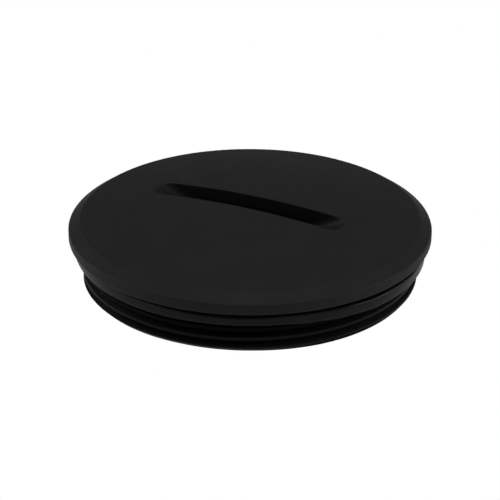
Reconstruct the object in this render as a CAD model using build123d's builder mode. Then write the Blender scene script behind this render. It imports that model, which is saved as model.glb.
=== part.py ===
"""Screw-in blanking plug with a coin slot, and the rubber seal ring on its neck.

Row frame, millimetres: the origin is the middle of the flat lower end, +Z points up through
the head, and +X points along the coin slot.
"""

from build123d import *
import os
from math import radians, sqrt, tan

# Driving dimensions
THREAD_MAJOR_D = 50.0
THREAD_PITCH = 1.5
HEAD_D = 54.0
TOTAL_HEIGHT = 12.0
HEAD_UNDERSIDE_Z = 7.0
RIM_HEIGHT = 1.5
BEVEL_HEIGHT = 1.25
BEVEL_WIDTH = 1.8
SLOT_LENGTH = 31.2
SLOT_WIDTH = 4.4
SLOT_FLOOR_R = 30.0
SLOT_SHIFT = -0.42
SEAL_WIDTH = 1.4
SEAL_HEIGHT = 1.6
SEAL_CLEARANCE = 0.1
SEAL_GAP = 0.5
WALL = 2.2

# Head: the rim stands on its underside, and the bevel leads up to the dome
RIM_FILLET = 0.35
UNDER_RIM_FILLET = 0.25
BEVEL_FILLET = 0.8
head_r = HEAD_D / 2
rim_top_z = HEAD_UNDERSIDE_Z + RIM_HEIGHT
dome_edge_r = head_r - BEVEL_WIDTH
dome_edge_z = rim_top_z + BEVEL_HEIGHT
dome_height = TOTAL_HEIGHT - dome_edge_z
dome_r = (dome_edge_r**2 + dome_height**2) / (2 * dome_height)

# Thread: a 60 degree groove winds up the shank and leaves narrow lands of the full diameter
THREAD_HALF_ANGLE = 30.0
LAND_WIDTH = 0.4
ROOT_WIDTH = 0.12
THREAD_TOP_Z = 4.2
LEAD_IN = 0.7
major_r = THREAD_MAJOR_D / 2
flank_slope = tan(radians(THREAD_HALF_ANGLE))
groove_mouth = THREAD_PITCH - LAND_WIDTH
groove_depth = (groove_mouth - ROOT_WIDTH) / 2 / flank_slope
minor_r = major_r - groove_depth
end_r = major_r - LEAD_IN

# One point on the middle of the land sets where the thread starts. The groove begins below
# the lower end, runs out in the undercut, and its section reaches a little past the land
LAND_ANGLE = -63.7
LAND_Z = 2.3
GROOVE_END_Z = 4.86
GROOVE_OVERCUT = 0.2
groove_z_at_x = LAND_Z + THREAD_PITCH * (0.5 - LAND_ANGLE / 360)
groove_start_z = groove_z_at_x % THREAD_PITCH - THREAD_PITCH
overcut_r = major_r + GROOVE_OVERCUT
overcut_mouth = groove_mouth + 2 * GROOVE_OVERCUT * flank_slope

# Neck: an undercut above the thread, then the seat that carries the seal ring
SEAT_LOW_Z = 5.2
SEAT_DEPTH = 0.4
UNDERCUT_DEPTH = groove_depth + 0.05
seat_r = major_r - SEAT_DEPTH
undercut_r = major_r - UNDERCUT_DEPTH
undercut_low_z = THREAD_TOP_Z + UNDERCUT_DEPTH * flank_slope

# Hollow underside: a drafted skirt, and a domed ceiling that keeps the head's wall even
SKIRT_DRAFT = 0.25
CEILING_FILLET = 0.8
SKIRT_FILLET = 0.3
skirt_top_r = minor_r - WALL
skirt_low_r = skirt_top_r + SKIRT_DRAFT
ceiling_r = dome_r - WALL
ceiling_apex_z = TOTAL_HEIGHT - WALL
ceiling_edge_z = ceiling_apex_z - ceiling_r + sqrt(ceiling_r**2 - skirt_top_r**2)

# Slot: the cut of a thick round-edged disc, a little off centre, whose floor comes up to the
# dome at both tips
SLOT_CORNER_R = 1.5
slot_tip_r = SLOT_LENGTH / 2
dome_centre_z = TOTAL_HEIGHT - dome_r
slot_tip_z = dome_centre_z + sqrt(dome_r**2 - slot_tip_r**2)
floor_axis_z = slot_tip_z + sqrt(SLOT_FLOOR_R**2 - slot_tip_r**2)
slot_floor_z = floor_axis_z - SLOT_FLOOR_R

# Under the head: a trough that follows the slot's floor, ribs, and the moulding gate's stub
TROUGH_WALL = 1.8
RIB_WIDTH = 1.6
RIB_LOW_Z = 6.6
RIB_ANGLES = (45, 135, 225, 315)
RIB_END_IN_SKIRT = 0.5
GATE_R = 1.2
GATE_LENGTH = 0.3
trough_width = SLOT_WIDTH + 2 * TROUGH_WALL
trough_r = SLOT_FLOOR_R + TROUGH_WALL
trough_low_z = slot_floor_z - TROUGH_WALL
trough_tip_r = slot_tip_r + TROUGH_WALL
trough_tip_z = floor_axis_z - sqrt(trough_r**2 - trough_tip_r**2)
rib_length = skirt_top_r + RIB_END_IN_SKIRT

# Seal ring: a flat ring, more rounded towards the head and where it meets the thread
SEAL_CORNER_R = 0.2
SEAL_ROUND_R = 0.45
seal_low_z = HEAD_UNDERSIDE_Z - SEAL_GAP - SEAL_HEIGHT
seal_inner_r = seat_r + SEAL_CLEARANCE
seal_outer_r = seal_inner_r + SEAL_WIDTH
seal_top_z = HEAD_UNDERSIDE_Z - SEAL_GAP

os.makedirs("parts", exist_ok=True)

with BuildPart() as slot_space:
    with BuildSketch(Plane.XZ):
        with Locations((SLOT_SHIFT, floor_axis_z)):
            Circle(SLOT_FLOOR_R)
    extrude(amount=SLOT_WIDTH / 2, both=True)
    fillet(slot_space.edges().filter_by(GeomType.CIRCLE), SLOT_CORNER_R)

with BuildPart() as plug_body:
    # The turned shape: dome, bevel, rim, neck, shank and the hollow underside
    with BuildSketch(Plane.YZ) as half_section:
        with BuildLine():
            RadiusArc((0, TOTAL_HEIGHT), (dome_edge_r, dome_edge_z), dome_r)
            Polyline(
                (dome_edge_r, dome_edge_z),
                (head_r, rim_top_z),
                (head_r, HEAD_UNDERSIDE_Z),
                (seat_r, HEAD_UNDERSIDE_Z),
                (seat_r, SEAT_LOW_Z),
                (undercut_r, SEAT_LOW_Z),
                (undercut_r, undercut_low_z),
                (major_r, THREAD_TOP_Z),
                (major_r, LEAD_IN),
                (end_r, 0),
                (skirt_low_r, 0),
                (skirt_top_r, ceiling_edge_z),
            )
            RadiusArc((skirt_top_r, ceiling_edge_z), (0, ceiling_apex_z), -ceiling_r)
            Line((0, ceiling_apex_z), (0, TOTAL_HEIGHT))
        make_face()
        corner_fillets = (
            (head_r, rim_top_z, RIM_FILLET),
            (head_r, HEAD_UNDERSIDE_Z, UNDER_RIM_FILLET),
            (dome_edge_r, dome_edge_z, BEVEL_FILLET),
            (skirt_top_r, ceiling_edge_z, CEILING_FILLET),
            (skirt_low_r, 0, SKIRT_FILLET),
        )
        for corner_r, corner_z, radius in corner_fillets:
            corner = half_section.vertices().sort_by_distance((corner_r, corner_z))[0]
            fillet(corner, radius)
    revolve(axis=Axis.Z)

    # Trough under the slot, with the gate's stub at its lowest point
    with BuildSketch(Plane.XZ):
        with BuildLine():
            RadiusArc(
                (SLOT_SHIFT - trough_tip_r, trough_tip_z),
                (SLOT_SHIFT + trough_tip_r, trough_tip_z),
                -trough_r,
            )
            Line(
                (SLOT_SHIFT + trough_tip_r, trough_tip_z),
                (SLOT_SHIFT - trough_tip_r, trough_tip_z),
            )
        make_face()
    extrude(amount=trough_width / 2, both=True)
    with BuildSketch(Plane.XY.offset(trough_low_z - GATE_LENGTH)):
        with Locations((SLOT_SHIFT, 0)):
            Circle(GATE_R)
    extrude(amount=GATE_LENGTH + TROUGH_WALL / 2)

    # Stiffening ribs, from the middle out into the skirt
    with BuildSketch(Plane.XY.offset(RIB_LOW_Z)):
        for angle in RIB_ANGLES:
            with PolarLocations(rib_length / 2, 1, start_angle=angle):
                Rectangle(rib_length, RIB_WIDTH)
    extrude(amount=ceiling_apex_z - RIB_LOW_Z)

    # Coin slot
    add(slot_space.part, mode=Mode.SUBTRACT)

    # Right-hand thread
    with BuildLine():
        helix = Helix(
            pitch=THREAD_PITCH,
            height=GROOVE_END_Z - groove_start_z,
            radius=major_r,
            center=(0, 0, groove_start_z),
        )
    with BuildSketch(Plane.XZ):
        with BuildLine():
            Polyline(
                (minor_r, groove_start_z - ROOT_WIDTH / 2),
                (overcut_r, groove_start_z - overcut_mouth / 2),
                (overcut_r, groove_start_z + overcut_mouth / 2),
                (minor_r, groove_start_z + ROOT_WIDTH / 2),
                close=True,
            )
        make_face()
    sweep(path=helix, is_frenet=True, mode=Mode.SUBTRACT)

with BuildPart() as seal_ring:
    with BuildSketch(Plane.XZ) as seal_section:
        with Locations((seal_inner_r, seal_low_z)):
            Rectangle(SEAL_WIDTH, SEAL_HEIGHT, align=(Align.MIN, Align.MIN))
        seal_fillets = (
            (seal_inner_r, seal_low_z, SEAL_ROUND_R),
            (seal_outer_r, seal_low_z, SEAL_CORNER_R),
            (seal_outer_r, seal_top_z, SEAL_ROUND_R),
            (seal_inner_r, seal_top_z, SEAL_CORNER_R),
        )
        for corner_r, corner_z, radius in seal_fillets:
            corner = seal_section.vertices().sort_by_distance((corner_r, corner_z))[0]
            fillet(corner, radius)
    revolve(axis=Axis.Z)

plug_body.part.label = "plug_body"
export_step(plug_body.part, "parts/plug_body.step")
seal_ring.part.label = "seal_ring"
export_step(seal_ring.part, "parts/seal_ring.step")
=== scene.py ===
"""Looks of the screw-in blanking plug: camera, light, floor, materials and the soft seal ring.

Blender units are metres, in the CAD model's frame: the origin is the middle of the lower end,
+Z points up through the head, and +X points along the coin slot.
"""
import math

import bmesh
import bpy
from mathutils import Matrix, Vector


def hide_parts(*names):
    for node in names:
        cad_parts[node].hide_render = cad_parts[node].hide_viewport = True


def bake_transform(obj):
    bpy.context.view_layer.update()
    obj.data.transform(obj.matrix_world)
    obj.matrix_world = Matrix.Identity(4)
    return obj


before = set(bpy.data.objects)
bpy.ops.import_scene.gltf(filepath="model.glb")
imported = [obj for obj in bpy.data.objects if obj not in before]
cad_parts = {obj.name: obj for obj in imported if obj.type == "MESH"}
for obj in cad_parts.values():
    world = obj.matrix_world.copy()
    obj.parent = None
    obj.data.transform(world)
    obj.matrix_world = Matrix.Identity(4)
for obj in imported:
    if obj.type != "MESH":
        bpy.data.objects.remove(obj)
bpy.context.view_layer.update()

MM = 0.001

# Camera: it looks at the middle of the head's rim, and is then turned a little down and rolled a
# little. Angles are in degrees and the lens is in millimetres
CAMERA_AZIMUTH = 26.29
CAMERA_ELEVATION = 25.1
CAMERA_PITCH_MORE = 0.69
CAMERA_ROLL = 0.232
CAMERA_DISTANCE = 331 * MM
CAMERA_LENS = 160.1
RIM_HEIGHT = 8.5 * MM

# Stage: the floor lies just under the lower end, and the backdrop is a ball round everything
FLOOR_Z = -0.02 * MM
FLOOR_SIZE = 2.0
BACKDROP_R = 2.5

# Light from all round: the strengths of sky and ground, and the heights on a unit sphere
# between which one turns into the other
SKY = 0.02
GROUND = 0.5
HORIZON_LOW = -0.12
HORIZON_HIGH = 0.15

# Each soft box: its name, its azimuth from the main view and its elevation in degrees, its
# distance, width and height in metres, and its power in watts
SOFT_BOXES = (
    ("soft_box_top", 0, 86, 1.1, 1.2, 1.2, 5.15),
    ("soft_box_back", 180, 30, 0.9, 0.9, 0.5, 0.15),
    ("soft_box_left", -105, 20, 0.8, 0.5, 0.4, 1.7),
    ("soft_box_right", 90, 22, 0.8, 0.5, 0.4, 2.05),
)

# Plastic of the plug: the head and the hollow have the full grain, the shank is painted darker
# as painted shade under the head, and its upper part, the neck under the ring, carries more
# painted shade and is the dullest. LOW_BLUE is the blue cast of the shank and of the rubber
PLASTIC = 0.0245
PLASTIC_LOW = 0.006
PLASTIC_ROUGH = 0.5
PLASTIC_LOW_ROUGH = 0.48
PLASTIC_SPECULAR = 0.11
GRAIN_BUMP = 0.25
GRAIN_BUMP_LOW = 0.075
LOW_BLUE = 1.3
# Painted shade: how much darker the neck under the ring is painted
NECK_PAINTED_SHADE = 0.85
NECK_DULL = 0.3
# Painted shade: how much darker the slot is painted
SLOT_PAINTED_SHADE = 0.3
MOTTLE_DARK = 0.1
MOTTLE_SIZE = 6 * MM
SPOT_SIZE = 0.5 * MM
SPOT_SMOOTHER = -0.04
SPOT_ROUGHER = 0.05
GRAIN_SIZE = 0.16 * MM
GRAIN_DEPTH = 0.01 * MM
WAVE_SIZE = 3 * MM
WAVE_DEPTH = 0.02 * MM
WAVE_BUMP = 0.15

# Where those looks begin and end: the neck's painted shade and the head by height, the hollow by
# radius, and the slot's painted shade by the dome above it, the round floor below it and its two
# sides
NECK_FROM_Z = 2.8 * MM
NECK_FULL_Z = 3.2 * MM
HEAD_FROM_Z = 6.5 * MM
HEAD_FULL_Z = 6.9 * MM
DOME_R = 142.25 * MM
DOME_TOP_Z = 12 * MM
SLOT_AXIS_X = -0.42 * MM
SLOT_AXIS_Z = 36.767 * MM
SLOT_FLOOR_R = 30 * MM
SLOT_SIDE_Y = 2.3 * MM
SLOT_SIDE_EDGE = 0.2 * MM
SLOT_FLOOR_NEAR = 0.2 * MM
SLOT_FLOOR_FAR = 0.5 * MM
SLOT_SHADE_FROM = 0.05 * MM
SLOT_SHADE_FULL = 0.3 * MM
SLOT_DEEP_FROM = 0.4 * MM
SLOT_DEEP_FULL = 3 * MM
HOLLOW_R = 22.3 * MM
HOLLOW_EDGE = 0.5 * MM

# Rubber of the ring: its level varies between RUBBER_DARKER and RUBBER_PALER times RUBBER
RUBBER = 0.0085
RUBBER_DARKER = 0.85
RUBBER_PALER = 1.3
RUBBER_ROUGH_LOW = 0.25
RUBBER_ROUGH_HIGH = 0.37
RUBBER_SPECULAR = 0.16
RUBBER_SHEEN = 0.03
RUBBER_SHEEN_ROUGH = 0.3
BLOOM_SIZE = 2.2 * MM
PORE_SIZE = 0.12 * MM
PORE_DEPTH = 0.006 * MM
PORE_BUMP = 0.4
DENT_SIZE = 1.5 * MM
DENT_DEPTH = 0.04 * MM
DENT_BUMP = 0.25

# Seal ring, in millimetres and degrees: its section, and where it hangs lower than its seat. Its
# upper outer corner is rounder near the front. Each sag is a smooth step between two angles
# about +Z, with the drop that it adds
SEAL_INNER_R = 24.7
SEAL_OUTER_R = 26.1
SEAL_LOW_Z = 4.9
SEAL_HIGH_Z = 6.5
SEAL_CORNER_R = 0.18
SEAL_INNER_CORNER_R = 0.6
SEAL_TOP_CORNER_R = 0.3
SEAL_FRONT_CORNER_R = 0.7
SEAL_FRONT = -70
SEAL_FRONT_SPAN = 30
SEAL_STEPS = 480
SAGS = (
    (-54, -44, 0.22),
    (-42, -34, 0.2),
    (-33, -20, 0.26),
    (-18, -6, 0.04),
    (15, 75, -0.72),
    (130, 170, 0.08),
    (-150, -128, -0.08),
)
LEFT_SAG = 0.08
RIPPLE = 0.02


def direction(azimuth, elevation):
    """The way from the object to a viewer or a light."""
    around, up = math.radians(azimuth), math.radians(elevation)
    return Vector((
        math.sin(around) * math.cos(up),
        -math.cos(around) * math.cos(up),
        math.sin(up),
    ))


def make_camera():
    """The camera of the main view."""
    data = bpy.data.cameras.new("camera")
    data.lens = CAMERA_LENS
    data.sensor_width = 36.0
    data.clip_start = 0.01
    data.clip_end = 50.0
    camera = bpy.data.objects.new("camera", data)
    bpy.context.scene.collection.objects.link(camera)
    back = direction(CAMERA_AZIMUTH, CAMERA_ELEVATION)
    place = Matrix.Translation(Vector((0, 0, RIM_HEIGHT)) + back * CAMERA_DISTANCE)
    turn = back.to_track_quat("Z", "Y").to_matrix().to_4x4()
    tilt = Matrix.Rotation(math.radians(-CAMERA_PITCH_MORE), 4, "X")
    roll = Matrix.Rotation(math.radians(CAMERA_ROLL), 4, "Z")
    camera.matrix_world = place @ turn @ tilt @ roll
    bpy.context.scene.camera = camera


def area_light(name, azimuth, elevation, distance, width, height, watts):
    """A soft box that faces the object. The azimuth counts from the main view."""
    data = bpy.data.lights.new(name, "AREA")
    data.shape = "RECTANGLE"
    data.size = width
    data.size_y = height
    data.energy = watts
    light = bpy.data.objects.new(name, data)
    bpy.context.scene.collection.objects.link(light)
    back = direction(CAMERA_AZIMUTH + azimuth, elevation)
    light.location = back * distance
    light.rotation_euler = back.to_track_quat("Z", "Y").to_euler()
    light.visible_camera = False


def make_sky():
    """Soft light from below the horizon all round, and almost none from above it."""
    world = bpy.data.worlds.new("surround")
    world.use_nodes = True
    nodes, links = world.node_tree.nodes, world.node_tree.links
    background = nodes["Background"]
    place = nodes.new("ShaderNodeTexCoord")
    split = nodes.new("ShaderNodeSeparateXYZ")
    level = nodes.new("ShaderNodeMapRange")
    level.interpolation_type = "SMOOTHSTEP"
    level.inputs["From Min"].default_value = HORIZON_LOW
    level.inputs["From Max"].default_value = HORIZON_HIGH
    level.inputs["To Min"].default_value = GROUND
    level.inputs["To Max"].default_value = SKY
    links.new(place.outputs["Generated"], split.inputs[0])
    links.new(split.outputs["Z"], level.inputs["Value"])
    links.new(level.outputs["Result"], background.inputs["Strength"])
    background.inputs["Color"].default_value = (1.0, 1.0, 1.0, 1.0)
    bpy.context.scene.world = world


def white_stage(name, mesh, one_sided):
    """A plain white surface of the stage, which neither lights nor shades the object.

    A one-sided surface shows only from the side that it faces.
    """
    material = bpy.data.materials.new(name)
    material.use_nodes = True
    shader = material.node_tree.nodes["Principled BSDF"]
    shader.inputs["Base Color"].default_value = (0.0, 0.0, 0.0, 1.0)
    shader.inputs["Specular IOR Level"].default_value = 0.0
    shader.inputs["Emission Color"].default_value = (1.0, 1.0, 1.0, 1.0)
    shader.inputs["Emission Strength"].default_value = 1.0
    if one_sided:
        tree = material.node_tree
        side = tree.nodes.new("ShaderNodeNewGeometry").outputs["Backfacing"]
        front = tree.nodes.new("ShaderNodeMath")
        front.operation = "SUBTRACT"
        front.inputs[0].default_value = 1.0
        tree.links.new(side, front.inputs[1])
        tree.links.new(front.outputs[0], shader.inputs["Alpha"])
    mesh.materials.append(material)
    surface = bpy.data.objects.new(name, mesh)
    bpy.context.scene.collection.objects.link(surface)
    surface.visible_diffuse = False
    surface.visible_glossy = False
    surface.visible_shadow = False
    return surface


def make_studio():
    """The sky, the soft boxes, the floor and the backdrop."""
    make_sky()
    for soft_box in SOFT_BOXES:
        area_light(*soft_box)
    view = bpy.context.scene.view_settings
    view.view_transform = "Standard"
    view.look = "None"

    floor = bpy.data.meshes.new("floor")
    shape = bmesh.new()
    bmesh.ops.create_grid(shape, x_segments=1, y_segments=1, size=FLOOR_SIZE)
    shape.to_mesh(floor)
    shape.free()
    white_stage("floor", floor, True).location.z = FLOOR_Z

    backdrop = bpy.data.meshes.new("backdrop")
    shape = bmesh.new()
    bmesh.ops.create_uvsphere(shape, u_segments=48, v_segments=24, radius=BACKDROP_R)
    shape.to_mesh(backdrop)
    shape.free()
    white_stage("backdrop", backdrop, False)


class Nodes:
    """A material's node tree, and short ways to add nodes to it."""

    def __init__(self, name):
        self.material = bpy.data.materials.new(name)
        self.material.use_nodes = True
        self.tree = self.material.node_tree
        self.shader = self.tree.nodes["Principled BSDF"]
        self.place = self.tree.nodes.new("ShaderNodeTexCoord").outputs["Object"]

    def link(self, source, target):
        """Join an output to an input."""
        self.tree.links.new(source, target)

    def noise(self, size, detail=2.0, rough=0.5):
        """Noise with cells about size metres wide."""
        node = self.tree.nodes.new("ShaderNodeTexNoise")
        node.inputs["Scale"].default_value = 1.0 / size
        node.inputs["Detail"].default_value = detail
        node.inputs["Roughness"].default_value = rough
        self.link(self.place, node.inputs["Vector"])
        return node.outputs["Fac"]

    def cells(self, size, smooth=0.6):
        """Rounded cells about size metres wide, as the distance from each cell's middle."""
        node = self.tree.nodes.new("ShaderNodeTexVoronoi")
        node.feature = "SMOOTH_F1"
        node.inputs["Scale"].default_value = 1.0 / size
        node.inputs["Smoothness"].default_value = smooth
        self.link(self.place, node.inputs["Vector"])
        return node.outputs["Distance"]

    def ramp(self, value, low, high, start, end):
        """A value that goes from start to end as the source goes from low to high."""
        node = self.tree.nodes.new("ShaderNodeMapRange")
        node.interpolation_type = "SMOOTHSTEP"
        node.inputs["From Min"].default_value = low
        node.inputs["From Max"].default_value = high
        node.inputs["To Min"].default_value = start
        node.inputs["To Max"].default_value = end
        self.link(value, node.inputs["Value"])
        return node.outputs["Result"]

    def height(self):
        """The height above the lower end."""
        return self.split()["Z"]

    def split(self):
        """The place as X, Y and Z."""
        node = self.tree.nodes.new("ShaderNodeSeparateXYZ")
        self.link(self.place, node.inputs[0])
        return node.outputs

    def distance(self, x, y, z, scale=(1.0, 1.0, 1.0)):
        """How far the place is from a point, with each axis scaled."""
        scaled = self.tree.nodes.new("ShaderNodeVectorMath")
        scaled.operation = "MULTIPLY"
        self.link(self.place, scaled.inputs[0])
        scaled.inputs[1].default_value = scale
        node = self.tree.nodes.new("ShaderNodeVectorMath")
        node.operation = "DISTANCE"
        self.link(scaled.outputs["Vector"], node.inputs[0])
        node.inputs[1].default_value = (x, y, z)
        return node.outputs["Value"]

    def slot_painted_shade(self, amount):
        """The painted shade in the slot: the amount just below the dome, and twice that deep
        down.
        """
        from_dome_centre = self.distance(0.0, 0.0, DOME_TOP_Z - DOME_R)
        depth = self.maths("SUBTRACT", DOME_R, from_dome_centre)
        edge = self.ramp(depth, SLOT_SHADE_FROM, SLOT_SHADE_FULL, 0.0, amount)
        deep = self.ramp(depth, SLOT_DEEP_FROM, SLOT_DEEP_FULL, 0.0, amount)
        from_axis = self.distance(SLOT_AXIS_X, 0.0, SLOT_AXIS_Z, (1.0, 0.0, 1.0))
        near, far = SLOT_FLOOR_R + SLOT_FLOOR_NEAR, SLOT_FLOOR_R + SLOT_FLOOR_FAR
        above_floor = self.ramp(from_axis, near, far, 1.0, 0.0)
        across = self.maths("ABSOLUTE", self.split()["Y"], 0.0)
        between_sides = self.ramp(across, SLOT_SIDE_Y, SLOT_SIDE_Y + SLOT_SIDE_EDGE, 1.0, 0.0)
        inside = self.maths("MULTIPLY", above_floor, between_sides)
        return self.maths("MULTIPLY", self.maths("ADD", edge, deep), inside)

    def maths(self, kind, a, b):
        """A sum or the like of two values, each an output or a plain number."""
        node = self.tree.nodes.new("ShaderNodeMath")
        node.operation = kind
        for source, target in zip((a, b), node.inputs):
            if isinstance(source, (int, float)):
                target.default_value = source
            else:
                self.link(source, target)
        return node.outputs[0]

    def colour(self, factor, dark, light):
        """A colour between two, by a factor."""
        node = self.tree.nodes.new("ShaderNodeMix")
        node.data_type = "RGBA"
        node.inputs["A"].default_value = (*dark, 1.0)
        node.inputs["B"].default_value = (*light, 1.0)
        self.link(factor, node.inputs["Factor"])
        return node.outputs["Result"]

    def blend(self, factor, source, colour):
        """A colour that goes from a source to a fixed colour, by a factor."""
        node = self.tree.nodes.new("ShaderNodeMix")
        node.data_type = "RGBA"
        self.link(source, node.inputs["A"])
        node.inputs["B"].default_value = (*colour, 1.0)
        self.link(factor, node.inputs["Factor"])
        return node.outputs["Result"]

    def bump(self, height, distance, strength, under=None):
        """Small bumps, with another layer of them under these if it is given."""
        node = self.tree.nodes.new("ShaderNodeBump")
        node.inputs["Distance"].default_value = distance
        if isinstance(strength, (int, float)):
            node.inputs["Strength"].default_value = strength
        else:
            self.link(strength, node.inputs["Strength"])
        self.link(height, node.inputs["Height"])
        if under is not None:
            self.link(under, node.inputs["Normal"])
        return node.outputs["Normal"]


def shade(level, blue=1.0):
    """A near-black grey, with a blue cast if blue is over 1."""
    return (level, level, level * blue)


def make_plastic():
    """Black moulded plastic: a satin grain on the head and the hollow, a shank painted darker as
    painted shade under the head, more painted shade on the neck under the ring, and painted
    shade in the slot.
    """
    plastic = Nodes("moulded_plastic")
    above = plastic.ramp(plastic.height(), HEAD_FROM_Z, HEAD_FULL_Z, 0.0, 1.0)
    from_middle = plastic.distance(0.0, 0.0, 0.0, (1.0, 1.0, 0.0))
    hollow = plastic.ramp(from_middle, HOLLOW_R, HOLLOW_R + HOLLOW_EDGE, 1.0, 0.0)
    head = plastic.maths("MAXIMUM", above, hollow)
    shank = plastic.ramp(head, 0, 1, 1.0, 0.0)
    above_thread = plastic.ramp(plastic.height(), NECK_FROM_Z, NECK_FULL_Z, 0.0, 1.0)
    neck = plastic.maths("MULTIPLY", above_thread, shank)

    # Painted shade: the shank outside the hollow gets a much darker colour, standing in for the
    # shade under the head and the ring
    paint = plastic.colour(head, shade(PLASTIC_LOW, LOW_BLUE), shade(PLASTIC))
    mottle = plastic.ramp(plastic.noise(MOTTLE_SIZE, 3.0), 0.3, 0.7, MOTTLE_DARK, 0.0)
    # Painted shade: the neck under the ring is darkened further
    dark = plastic.maths("MULTIPLY", neck, NECK_PAINTED_SHADE)
    dark = plastic.maths("ADD", dark, mottle)
    # Painted shade: the slot is darkened more the deeper it goes
    dark = plastic.maths("ADD", dark, plastic.slot_painted_shade(SLOT_PAINTED_SHADE))
    painted = plastic.blend(dark, paint, shade(0.0))
    plastic.link(painted, plastic.shader.inputs["Base Color"])

    spots = plastic.ramp(plastic.noise(SPOT_SIZE, 2.0), 0.3, 0.7, SPOT_SMOOTHER, SPOT_ROUGHER)
    rough = plastic.ramp(head, 0, 1, PLASTIC_LOW_ROUGH, PLASTIC_ROUGH)
    rough = plastic.maths("ADD", rough, plastic.maths("MULTIPLY", neck, NECK_DULL))
    rough = plastic.maths("ADD", rough, spots)
    plastic.link(rough, plastic.shader.inputs["Roughness"])

    strength = plastic.ramp(head, 0, 1, GRAIN_BUMP_LOW, GRAIN_BUMP)
    grain = plastic.bump(plastic.cells(GRAIN_SIZE), GRAIN_DEPTH, strength)
    waves = plastic.bump(plastic.noise(WAVE_SIZE, 2.0), WAVE_DEPTH, WAVE_BUMP, grain)
    plastic.link(waves, plastic.shader.inputs["Normal"])
    plastic.shader.inputs["Specular IOR Level"].default_value = PLASTIC_SPECULAR
    return plastic.material


def make_rubber():
    """Black rubber: soft mottling, a bloom in patches, and a faint sheen."""
    rubber = Nodes("seal_rubber")
    bloom = rubber.ramp(rubber.noise(BLOOM_SIZE, 4.0, 0.6), 0.35, 0.75, 0.0, 1.0)
    darker = shade(RUBBER * RUBBER_DARKER, LOW_BLUE)
    paler = shade(RUBBER * RUBBER_PALER, LOW_BLUE)
    rubber.link(rubber.colour(bloom, darker, paler), rubber.shader.inputs["Base Color"])
    rough = rubber.ramp(bloom, 0, 1, RUBBER_ROUGH_LOW, RUBBER_ROUGH_HIGH)
    rubber.link(rough, rubber.shader.inputs["Roughness"])
    pores = rubber.bump(rubber.noise(PORE_SIZE, 2.0), PORE_DEPTH, PORE_BUMP)
    dents = rubber.bump(rubber.noise(DENT_SIZE, 2.0), DENT_DEPTH, DENT_BUMP, pores)
    rubber.link(dents, rubber.shader.inputs["Normal"])
    rubber.shader.inputs["Specular IOR Level"].default_value = RUBBER_SPECULAR
    rubber.shader.inputs["Sheen Weight"].default_value = RUBBER_SHEEN
    rubber.shader.inputs["Sheen Roughness"].default_value = RUBBER_SHEEN_ROUGH
    return rubber.material


def smooth_step(value, low, high):
    """A smooth rise from 0 to 1 as the value goes from low to high."""
    part = min(max((value - low) / (high - low), 0.0), 1.0)
    return part * part * (3 - 2 * part)


def seal_drop(angle):
    """How far the ring hangs below its seat at an angle in degrees, in millimetres."""
    drop = sum(depth * smooth_step(angle, low, high) for low, high, depth in SAGS)
    ripple = RIPPLE * math.sin(math.radians(7 * angle)) * math.sin(math.radians(3 * angle + 40))
    return LEFT_SAG + drop + ripple


def seal_section(angle):
    """The ring's section at an angle, as radius and height: a rectangle with rounded corners."""
    near = max(0.0, 1 - abs(angle - SEAL_FRONT) / SEAL_FRONT_SPAN)
    top = SEAL_TOP_CORNER_R + (SEAL_FRONT_CORNER_R - SEAL_TOP_CORNER_R) * smooth_step(near, 0, 1)
    middle_r, middle_z = (SEAL_INNER_R + SEAL_OUTER_R) / 2, (SEAL_LOW_Z + SEAL_HIGH_Z) / 2
    corners = (
        (SEAL_OUTER_R, SEAL_LOW_Z, SEAL_CORNER_R, -90, (SEAL_OUTER_R, middle_z)),
        (SEAL_OUTER_R, SEAL_HIGH_Z, top, 0, (middle_r, SEAL_HIGH_Z)),
        (SEAL_INNER_R, SEAL_HIGH_Z, SEAL_CORNER_R, 90, (SEAL_INNER_R, middle_z)),
        (SEAL_INNER_R, SEAL_LOW_Z, SEAL_INNER_CORNER_R, 180, (middle_r, SEAL_LOW_Z)),
    )
    points = []
    for r, z, size, start, after in corners:
        centre_r = r - size if r > middle_r else r + size
        centre_z = z - size if z > middle_z else z + size
        for turn in (0, 15, 30, 45, 60, 75, 90):
            a = math.radians(start + turn)
            points.append((centre_r + size * math.cos(a), centre_z + size * math.sin(a)))
        points.append(after)
    return points


def make_seal():
    """The soft ring: loose on its neck, so it hangs low and wavers on one side."""
    shape = bmesh.new()
    loops = []
    for step in range(SEAL_STEPS):
        angle = 360.0 * step / SEAL_STEPS - 180.0
        a, drop = math.radians(angle), seal_drop(angle)
        loops.append([
            shape.verts.new(Vector((r * math.cos(a), r * math.sin(a), z - drop)) * MM)
            for r, z in seal_section(angle)
        ])
    for loop, after in zip(loops, loops[1:] + loops[:1]):
        for i in range(len(loop)):
            j = (i + 1) % len(loop)
            shape.faces.new((loop[i], after[i], after[j], loop[j])).smooth = True
    bmesh.ops.recalc_face_normals(shape, faces=shape.faces)
    mesh = bpy.data.meshes.new("soft_seal_ring")
    shape.to_mesh(mesh)
    shape.free()
    mesh.materials.append(make_rubber())
    ring = bpy.data.objects.new("soft_seal_ring", mesh)
    bpy.context.scene.collection.objects.link(ring)
    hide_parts("seal_ring")
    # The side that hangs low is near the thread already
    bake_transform(ring)


make_camera()
make_studio()
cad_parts["plug_body"].material_slots[0].material = make_plastic()
make_seal()
